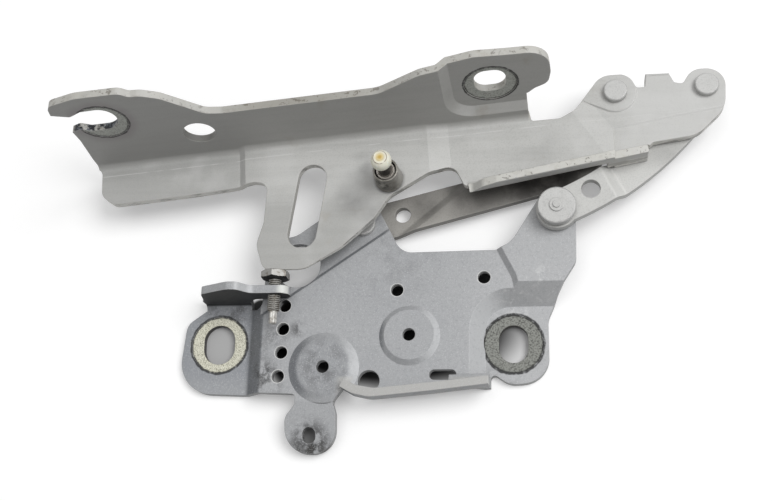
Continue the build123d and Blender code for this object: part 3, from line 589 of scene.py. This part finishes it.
def zinc_bonnet():
    """Bonnet bracket: warm grey zinc, beige cut edges, washer prints and grease round the flange slots."""
    p = Paint("zinc_bonnet")
    beyond_web = p.past(web_across, flange_origin)
    on_upright = p.both(p.ramp(beyond_web, -0.0012, -0.0008), p.ramp(p.along(east), 0.171, 0.169))
    colour, flat_cut = bonnet_edges(p, bonnet_ground(p, beyond_web), on_upright)
    colour = bonnet_slopes(p, colour, flat_cut)
    colour = bonnet_marks(p, colour, on_upright, beyond_web)
    colour, height = bonnet_prints(p, colour, p.noise(1000.0, 3.0, 0.6))
    colour = p.tint(colour, p.wear(), 0.35, (0.58, 0.57, 0.54))
    return p.finish(colour, 0.47, height, 0.16, metallic=0.1, gloss=0.25)


def zinc_link(name, tone, oil_and_shade_points):
    """Link: zinc with oil and painted shade where the other sheets cover it, and painted highlight facing
    right.
    """
    p = Paint(name)
    colour = speckled(p, tone, scaled(tone, 0.6), scaled(tone, 1.2), 0.5)
    # Oil and painted shade darken the link round these points, in smeared patches
    smear = p.ramp(p.noise(70.0, 4.0, 0.6, 0.2), 0.30, 0.60, 0.60, 1.0)
    colour = tint_round_points(p, colour, oil_and_shade_points, smear, (0.03, 0.028, 0.026))
    colour = p.tint(colour, p.edge_on(up), 0.35, scaled(tone, 0.85))
    # Painted highlight on faces that face right
    painted_highlight_right_faces = p.both(p.ramp(p.along(east, p.normal), 0.05, 0.30), p.ramp(p.along(up, p.normal), 0.30, 0.50))
    colour = p.tint(colour, painted_highlight_right_faces, 0.25, scaled(tone, 1.5, 0.8))
    colour = p.tint(colour, p.wear(), 0.3, (0.52, 0.52, 0.50))
    return p.finish(colour, 0.5, p.noise(1000.0, 3.0, 0.6), 0.2, metallic=0.1, gloss=0.2)


def plain_metal(name, tone, roughness, metallic, dirt_amount=0.3):
    """Bare or plated metal of a small piece, with dirt in patches and bright edges."""
    p = Paint(name)
    colour = speckled(p, tone, scaled(tone, 0.55), scaled(tone, 1.3), 0.4)
    dirt = p.ramp(p.noise(320.0, 5.0, 0.7), 0.52, 0.70)
    colour = p.tint(colour, dirt, dirt_amount, scaled(tone, 0.25))
    colour = p.tint(colour, p.wear(0.0005), 0.3, scaled(tone, 1.35))
    return p.finish(colour, roughness, p.noise(1300.0, 3.0, 0.6), 0.2, metallic=metallic, edge=0.0004)


def screw_metal():
    """Stop screw: grey head with painted shade on its underside, brown dirt in the thread's grooves, bright
    tip.
    """
    p = Paint("screw_steel")
    head_low = screw_at[1] - head_h
    thread_end = head_low - thread_run
    colour = speckled(p, (0.30, 0.295, 0.28), (0.16, 0.155, 0.145), (0.42, 0.415, 0.40), 0.4)
    radius = p.from_line((1, 0, 1), (screw_at[0], 0.0, screw_at[2]))
    on_thread = p.band(p.along(north), thread_end, head_low - 0.0001)
    groove = p.both(p.ramp(radius, thread_r - 0.00015, thread_r - 0.0004), on_thread)
    colour = p.tint(colour, groove, 0.85, (0.040, 0.030, 0.022))
    ridge = p.both(p.ramp(radius, thread_r - 0.0003, thread_r - 0.0001), on_thread)
    colour = p.tint(colour, ridge, 0.6, (0.46, 0.45, 0.42))
    tip = p.ramp(p.along(north), thread_end + 0.0003, thread_end)
    colour = p.tint(colour, tip, 0.8, (0.62, 0.61, 0.58))
    rust = p.ramp(p.noise(420.0, 4.0, 0.7), 0.50, 0.60)
    colour = p.tint(colour, rust, 0.55, (0.11, 0.085, 0.06))
    # Painted shade, near black, on the underside of the head and its chamfers
    under = p.ramp(p.along(north, p.normal), -0.12, -0.35)
    on_head = p.ramp(p.along(north), head_low - 0.0003, head_low)
    colour = p.tint(colour, p.both(under, on_head), 0.95, (0.012, 0.012, 0.012))
    return p.finish(colour, 0.42, p.noise(1300.0, 3.0, 0.6), 0.15, metallic=0.4, edge=0.0002, gloss=0.15)


def from_stud_axis(p):
    return p.from_line((1, 1, 0), stud_axis)


def stud_metal():
    """Ball stud: polished brownish foot with dark turned rings, dark dirt and a black neck."""
    p = Paint("stud_steel")
    colour = speckled(p, (0.42, 0.39, 0.35), (0.20, 0.18, 0.155), (0.58, 0.56, 0.52), 0.5)
    radius = p.math("ADD", from_stud_axis(p), wobble(p, 250.0, 0.0006))
    for ring in (0.0036, 0.0043):
        colour = p.tint(colour, p.band(radius, ring, ring + 0.0002, 0.00012), 0.75, (0.05, 0.042, 0.035))
    dirt = p.ramp(p.noise(300.0, 4.0, 0.7, 1.0), 0.50, 0.60)
    colour = p.tint(colour, dirt, 0.6, (0.07, 0.06, 0.05))
    neck = p.both(p.ramp(radius, 0.0034, 0.0031), p.ramp(p.along(up), 0.0355, 0.0365))
    colour = p.tint(colour, neck, 0.92, (0.02, 0.018, 0.016))
    return p.finish(colour, 0.33, p.noise(1300.0, 3.0, 0.6), 0.15, metallic=0.45, edge=0.0002)


def sleeve_metal():
    """Sleeve round the ball stud: worn grey-brown steel, smeared dark low at the front, with painted light
    and shade.
    """
    p = Paint("sleeve_steel")
    colour = speckled(p, (0.21, 0.20, 0.178), (0.10, 0.095, 0.085), (0.30, 0.29, 0.265), 0.4)
    smear = p.ramp(p.noise(260.0, 5.0, 0.65, 0.6), 0.45, 0.58)
    colour = p.tint(colour, smear, 0.45, (0.09, 0.082, 0.07))
    low_front = p.both(p.near((0.0845, 0.072, 0.031), 0.002, 0.006), p.ramp(p.noise(350.0, 3.0), 0.40, 0.52))
    colour = p.tint(colour, low_front, 0.9, (0.02, 0.018, 0.016))
    # Painted light: pale patches on the side that faces the front, and a painted highlight on the side facing
    # right
    pale = p.both(p.ramp(p.noise(200.0, 4.0, 0.6), 0.50, 0.64), p.ramp(p.along(north, p.normal), 0.2, -0.4))
    colour = p.tint(colour, pale, 0.5, (0.46, 0.44, 0.40))
    right = p.ramp(p.along(east, p.normal), 0.5, 0.95)
    colour = p.tint(colour, right, 0.5, (0.50, 0.49, 0.46))
    # Painted shade, near black, at the foot where the sleeve meets the web, and inside the sleeve
    foot = p.ramp(p.along(up), 0.0246, 0.0241)
    colour = p.tint(colour, foot, 0.85, (0.015, 0.015, 0.015))
    inside = p.both(p.ramp(from_stud_axis(p), 0.0056, 0.0053), p.ramp(p.along(up), 0.0362, 0.0358))
    colour = p.tint(colour, inside, 0.9, (0.012, 0.012, 0.012))
    colour = p.tint(colour, p.wear(0.0004), 0.35, (0.45, 0.44, 0.41))
    return p.finish(colour, 0.40, p.noise(1300.0, 3.0, 0.6), 0.15, metallic=0.35, edge=0.0002, gloss=0.2)


def ivory():
    """Cap: ivory plastic with a thin brownish line round its flat top and an ochre blush at the centre."""
    p = Paint("ivory_plastic")
    cloud = p.ramp(p.noise(500.0, 3.0, 0.6), 0.4, 0.7)
    colour = p.tint((0.86, 0.83, 0.70), cloud, 0.22, (0.74, 0.70, 0.56))
    flat_top = p.ramp(p.along(up), 0.05165, 0.05185)
    middle = (stud_axis[0], stud_axis[1], cap_top)
    blush = p.both(p.near(middle, 0.0014, 0.0031, wobble(p, 400.0, 0.0010)), flat_top)
    colour = p.tint(colour, blush, 0.85, blush_tone)
    rim = p.band(p.along(up), 0.05150, 0.05185, 0.00010)
    colour = p.tint(colour, p.both(rim, p.ramp(p.noise(220.0, 3.0), 0.35, 0.5)), 0.75, (0.22, 0.16, 0.10))
    low = p.both(p.ramp(p.along(up), 0.0463, 0.0450), p.ramp(p.noise(260.0, 4.0), 0.38, 0.55))
    colour = p.tint(colour, low, 0.7, (0.16, 0.13, 0.09))
    p.shader.inputs["Subsurface Weight"].default_value = 0.05
    return p.finish(colour, 0.32, p.noise(1600.0, 2.0, 0.5), 0.08, edge=0.0003)


def ochre():
    """Cap's centre: ochre in the middle, blushing out to the ivory round it."""
    p = Paint("ochre_plastic")
    middle = p.ramp(p.math("ADD", from_stud_axis(p), wobble(p, 500.0, 0.0009)), 0.0016, 0.0003)
    colour = p.mix(middle, blush_tone, (0.50, 0.33, 0.07))
    return p.finish(colour, 0.5, p.noise(1600.0, 2.0, 0.5), 0.08, edge=0.0003)


materials = {
    "zinc_body": zinc_body(),
    "zinc_bonnet": zinc_bonnet(),
    "zinc_front_link": zinc_link("zinc_front_link", front_link_zinc, front_link_oil_and_shade),
    "zinc_rear_link": zinc_link("zinc_rear_link", rear_link_zinc, rear_link_oil),
    "rivet_steel": plain_metal("rivet_steel", rivet_tone, 0.42, 0.2, 0.2),
    "bush_bronze": plain_metal("bush_bronze", bush_tone, 0.4, 0.7),
    "washer_steel": plain_metal("washer_steel", washer_tone, 0.4, 0.4),
    "stud_steel": stud_metal(),
    "sleeve_steel": sleeve_metal(),
    "ivory_plastic": ivory(),
    "ochre_plastic": ochre(),
    "screw_steel": screw_metal(),
}


def dress_solids():
    """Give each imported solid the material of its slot."""
    for part in frame["record"]["subparts"]:
        mesh_object = nodes[part["node"]]
        mesh_object.data.materials.clear()
        mesh_object.data.materials.append(materials[part["material_slot"]])


def ring_mesh(rings, at, axis, sides, closed):
    """Faces between rings round an axis. A ring is a distance along it and a radius for each turn."""
    axis = Vector(axis)
    first = Vector(east)
    second = axis.cross(first)
    shape = bmesh.new()
    rows = []
    for run, radius in rings:
        row = []
        for step in range(sides):
            turn = 2 * pi * step / sides
            way = cos(turn) * first + sin(turn) * second
            row.append(shape.verts.new(Vector(at) + run * axis + radius(run, turn) * way))
        rows.append(row)
    pairs = list(zip(rows, rows[1:]))
    if closed:
        pairs.append((rows[-1], rows[0]))
    for low, high in pairs:
        for step in range(sides):
            after = (step + 1) % sides
            shape.faces.new((low[step], low[after], high[after], high[step]))
    if not closed:
        shape.faces.new(rows[0][::-1])
        shape.faces.new(rows[-1])
    bmesh.ops.recalc_face_normals(shape, faces=shape.faces)
    return shape


def turned(name, rings, at, axis, sides, node, body, slot, closed=False):
    """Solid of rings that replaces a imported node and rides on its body."""
    shape = ring_mesh(rings, at, axis, sides, closed)
    for face in shape.faces:
        face.smooth = True
    for edge in shape.edges:
        if edge.calc_face_angle(0.0) > crease:
            edge.smooth = False
    mesh = bpy.data.meshes.new(name)
    shape.to_mesh(mesh)
    shape.free()
    piece = bpy.data.objects.new(name, mesh)
    bpy.context.scene.collection.objects.link(piece)
    mesh.materials.append(materials[slot])
    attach(piece, body)
    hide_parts(node)


def round_to(radius):
    return lambda run, turn: radius


def hexagon(limit):
    """Hexagon's radius at a turn, with its corners cut at a limit."""
    def radius(run, turn):
        from_flat = (turn + pi / 6) % (pi / 3) - pi / 6
        return min(head_flat / cos(from_flat), limit)
    return radius


def thread(run, turn):
    """Radius of the thread's ridges and grooves, faded at its free end."""
    phase = (run / thread_pitch - turn / (2 * pi)) % 1.0
    ridge = min(1.0, thread_fill * (1.0 - abs(2.0 * phase - 1.0)))
    left = min(1.0, (head_h + thread_run - run) / thread_fade)
    return thread_r - thread_depth * (1.0 - ridge * left) - thread_end_drop * (1.0 - left)


def lobed(run, turn):
    """Radius of the drive tip with its lobes."""
    return tip_r - lobe_depth * (1.0 - cos(lobes * turn))


def lobed_end(run, turn):
    return lobed(run, turn) - tip_chamfer


def threaded_screw():
    """Hex head with chamfers, a thin round face under it, a triangle thread and a lobed drive tip."""
    wider = (head_corner - head_face_r) / chamfer_steps
    rings = []
    for step in range(chamfer_steps + 1):
        rings.append((head_chamfer * step / chamfer_steps, hexagon(head_face_r + wider * step)))
    for step in range(chamfer_steps + 1):
        run = head_h - head_chamfer + (head_chamfer - under_face_h) * step / chamfer_steps
        rings.append((run, hexagon(head_corner - wider * step)))
    rings.append((head_h - under_face_h, round_to(under_face_r[0])))
    rings.append((head_h, round_to(under_face_r[1])))
    rings.append((head_h, round_to(thread_root_r)))
    for step in range(thread_rows + 1):
        run = head_h + thread_start + (thread_run - thread_start) * step / thread_rows
        rings.append((run, thread))
    thread_end = head_h + thread_run
    rings.append((thread_end, lobed))
    rings.append((thread_end + tip_run - tip_chamfer, lobed))
    rings.append((thread_end + tip_run, lobed_end))
    turned("stop_screw_threaded", rings, screw_at, screw_way, screw_sides,
           "stop_screw", "screw", "screw_steel")


def turned_sleeve():
    """Sleeve with a foot ring, a groove above it and a rolled rim."""
    rings = [(run, round_to(radius)) for run, radius in sleeve_profile]
    at = (stud_axis[0], stud_axis[1], web_top)
    turned("stud_sleeve_turned", rings, at, up, sleeve_sides,
           "stud_sleeve", "bonnet_side", "sleeve_steel", closed=True)


def turned_stud():
    """Ball stud with its riveted end, shank, foot with grooves, neck and ball."""
    profile = list(stud_profile)
    for step in range(ball_steps + 1):
        slant = radians(ball_first + ball_sweep * step / ball_steps)
        profile.append((ball_rise + ball_r * sin(slant), ball_r * cos(slant)))
    rings = [(run, round_to(radius)) for run, radius in profile]
    at = (stud_axis[0], stud_axis[1], stud_low)
    turned("ball_stud_turned", rings, at, up, stud_sides,
           "ball_stud", "bonnet_side", "stud_steel")


def light_paths(tree):
    """1 for rays of the camera, of reflections and of glass."""
    path = tree.nodes.new("ShaderNodeLightPath")
    seen = path.outputs["Is Camera Ray"]
    for name in ("Is Glossy Ray", "Is Transmission Ray"):
        larger = tree.nodes.new("ShaderNodeMath")
        larger.operation = "MAXIMUM"
        tree.links.new(seen, larger.inputs[0])
        tree.links.new(path.outputs[name], larger.inputs[1])
        seen = larger.outputs[0]
    return seen


def from_shade(p, x, y, reach_x, reach_y):
    """Distance from a shade's centre, as a share of its reach each way."""
    moved = p.vector("SUBTRACT", p.place, (x, y, 0.0))
    scaled_place = p.vector("MULTIPLY", moved.outputs[0], (1 / reach_x, 1 / reach_y, 0.0))
    length = p.add("ShaderNodeVectorMath", operation="LENGTH")
    p.put(length.inputs[0], scaled_place.outputs[0])
    return length.outputs["Value"]


def floor_material():
    """Floor that is white to the camera and in reflections, takes shadows and sends little light back."""
    p = Paint("floor_white")
    clear = 1.0
    open_colour = 1.0
    for x, y, reach_x, reach_y, left in floor_shades:
        away = from_shade(p, x, y, reach_x, reach_y)
        clear = p.both(clear, p.ramp(away, shade_inner, shade_outer))
        open_colour = p.both(open_colour, p.ramp(away, shade_inner, shade_outer, left, 1.0))
    pale = p.add("ShaderNodeBsdfDiffuse")
    p.put(pale.inputs["Color"], p.mix(open_colour, floor_dark, floor_pale))
    glow = p.add("ShaderNodeEmission")
    glow.inputs["Color"].default_value = (1, 1, 1, 1)
    p.put(glow.inputs["Strength"], p.math("MULTIPLY", clear, floor_glow))
    both = p.add("ShaderNodeAddShader")
    p.put(both.inputs[0], pale.outputs[0])
    p.put(both.inputs[1], glow.outputs[0])
    dull = p.add("ShaderNodeBsdfDiffuse")
    dull.inputs["Color"].default_value = (floor_dull, floor_dull, floor_dull, 1)
    choose = p.add("ShaderNodeMixShader")
    p.put(choose.inputs[0], light_paths(p.tree))
    p.put(choose.inputs[1], dull.outputs[0])
    p.put(choose.inputs[2], both.outputs[0])
    p.tree.nodes.remove(p.shader)
    p.put(p.output.inputs[0], choose.outputs[0])
    return p.material


def add_floor():
    mesh = bpy.data.meshes.new("floor")
    sides = ((-1, -1), (1, -1), (1, 1), (-1, 1))
    corners = [(x * floor_reach, y * floor_reach, floor_level) for x, y in sides]
    mesh.from_pydata(corners, [], [(0, 1, 2, 3)])
    floor = bpy.data.objects.new("floor", mesh)
    bpy.context.scene.collection.objects.link(floor)
    mesh.materials.append(floor_material())


def add_light(name, way, distance, size, power):
    """Round soft light that faces the part."""
    data = bpy.data.lights.new(name, "AREA")
    data.shape = "DISK"
    data.size = size
    data.energy = power
    light = bpy.data.objects.new(name, data)
    bpy.context.scene.collection.objects.link(light)
    light.location = look_at + distance * Vector(way).normalized()
    light.rotation_euler = Vector(way).to_track_quat("Z", "Y").to_euler()


def add_world():
    """Soft even light, with white behind the part for the camera and for reflections."""
    world = bpy.data.worlds.new("studio")
    bpy.context.scene.world = world
    world.use_nodes = True
    tree = world.node_tree
    tree.nodes.clear()
    output = tree.nodes.new("ShaderNodeOutputWorld")
    ambient = tree.nodes.new("ShaderNodeBackground")
    ambient.inputs["Strength"].default_value = ambient_level
    white = tree.nodes.new("ShaderNodeBackground")
    choose = tree.nodes.new("ShaderNodeMixShader")
    tree.links.new(light_paths(tree), choose.inputs[0])
    for node, socket in ((ambient, 1), (white, 2)):
        node.inputs["Color"].default_value = (1, 1, 1, 1)
        tree.links.new(node.outputs[0], choose.inputs[socket])
    tree.links.new(choose.outputs[0], output.inputs[0])


def add_camera():
    """Camera at the photo's viewing angle."""
    right = Vector(camera_right).normalized()
    back = Vector(camera_back)
    back = (back - back.dot(right) * right).normalized()
    data = bpy.data.cameras.new("camera")
    data.sensor_width = sensor_width
    data.lens = sensor_width * focal_pixels / photo_width
    camera = bpy.data.objects.new("camera", data)
    bpy.context.scene.collection.objects.link(camera)
    turn = Matrix((right, back.cross(right), back)).transposed().to_4x4()
    camera.matrix_world = Matrix.Translation(camera_at) @ turn
    bpy.context.scene.camera = camera


dress_solids()
threaded_screw()
turned_sleeve()
turned_stud()
add_camera()
add_floor()
add_world()
add_light("key", key_way, key_distance, key_size, key_power)
add_light("top", top_way, top_distance, top_size, top_power)
bpy.context.scene.view_settings.view_transform = "Standard"
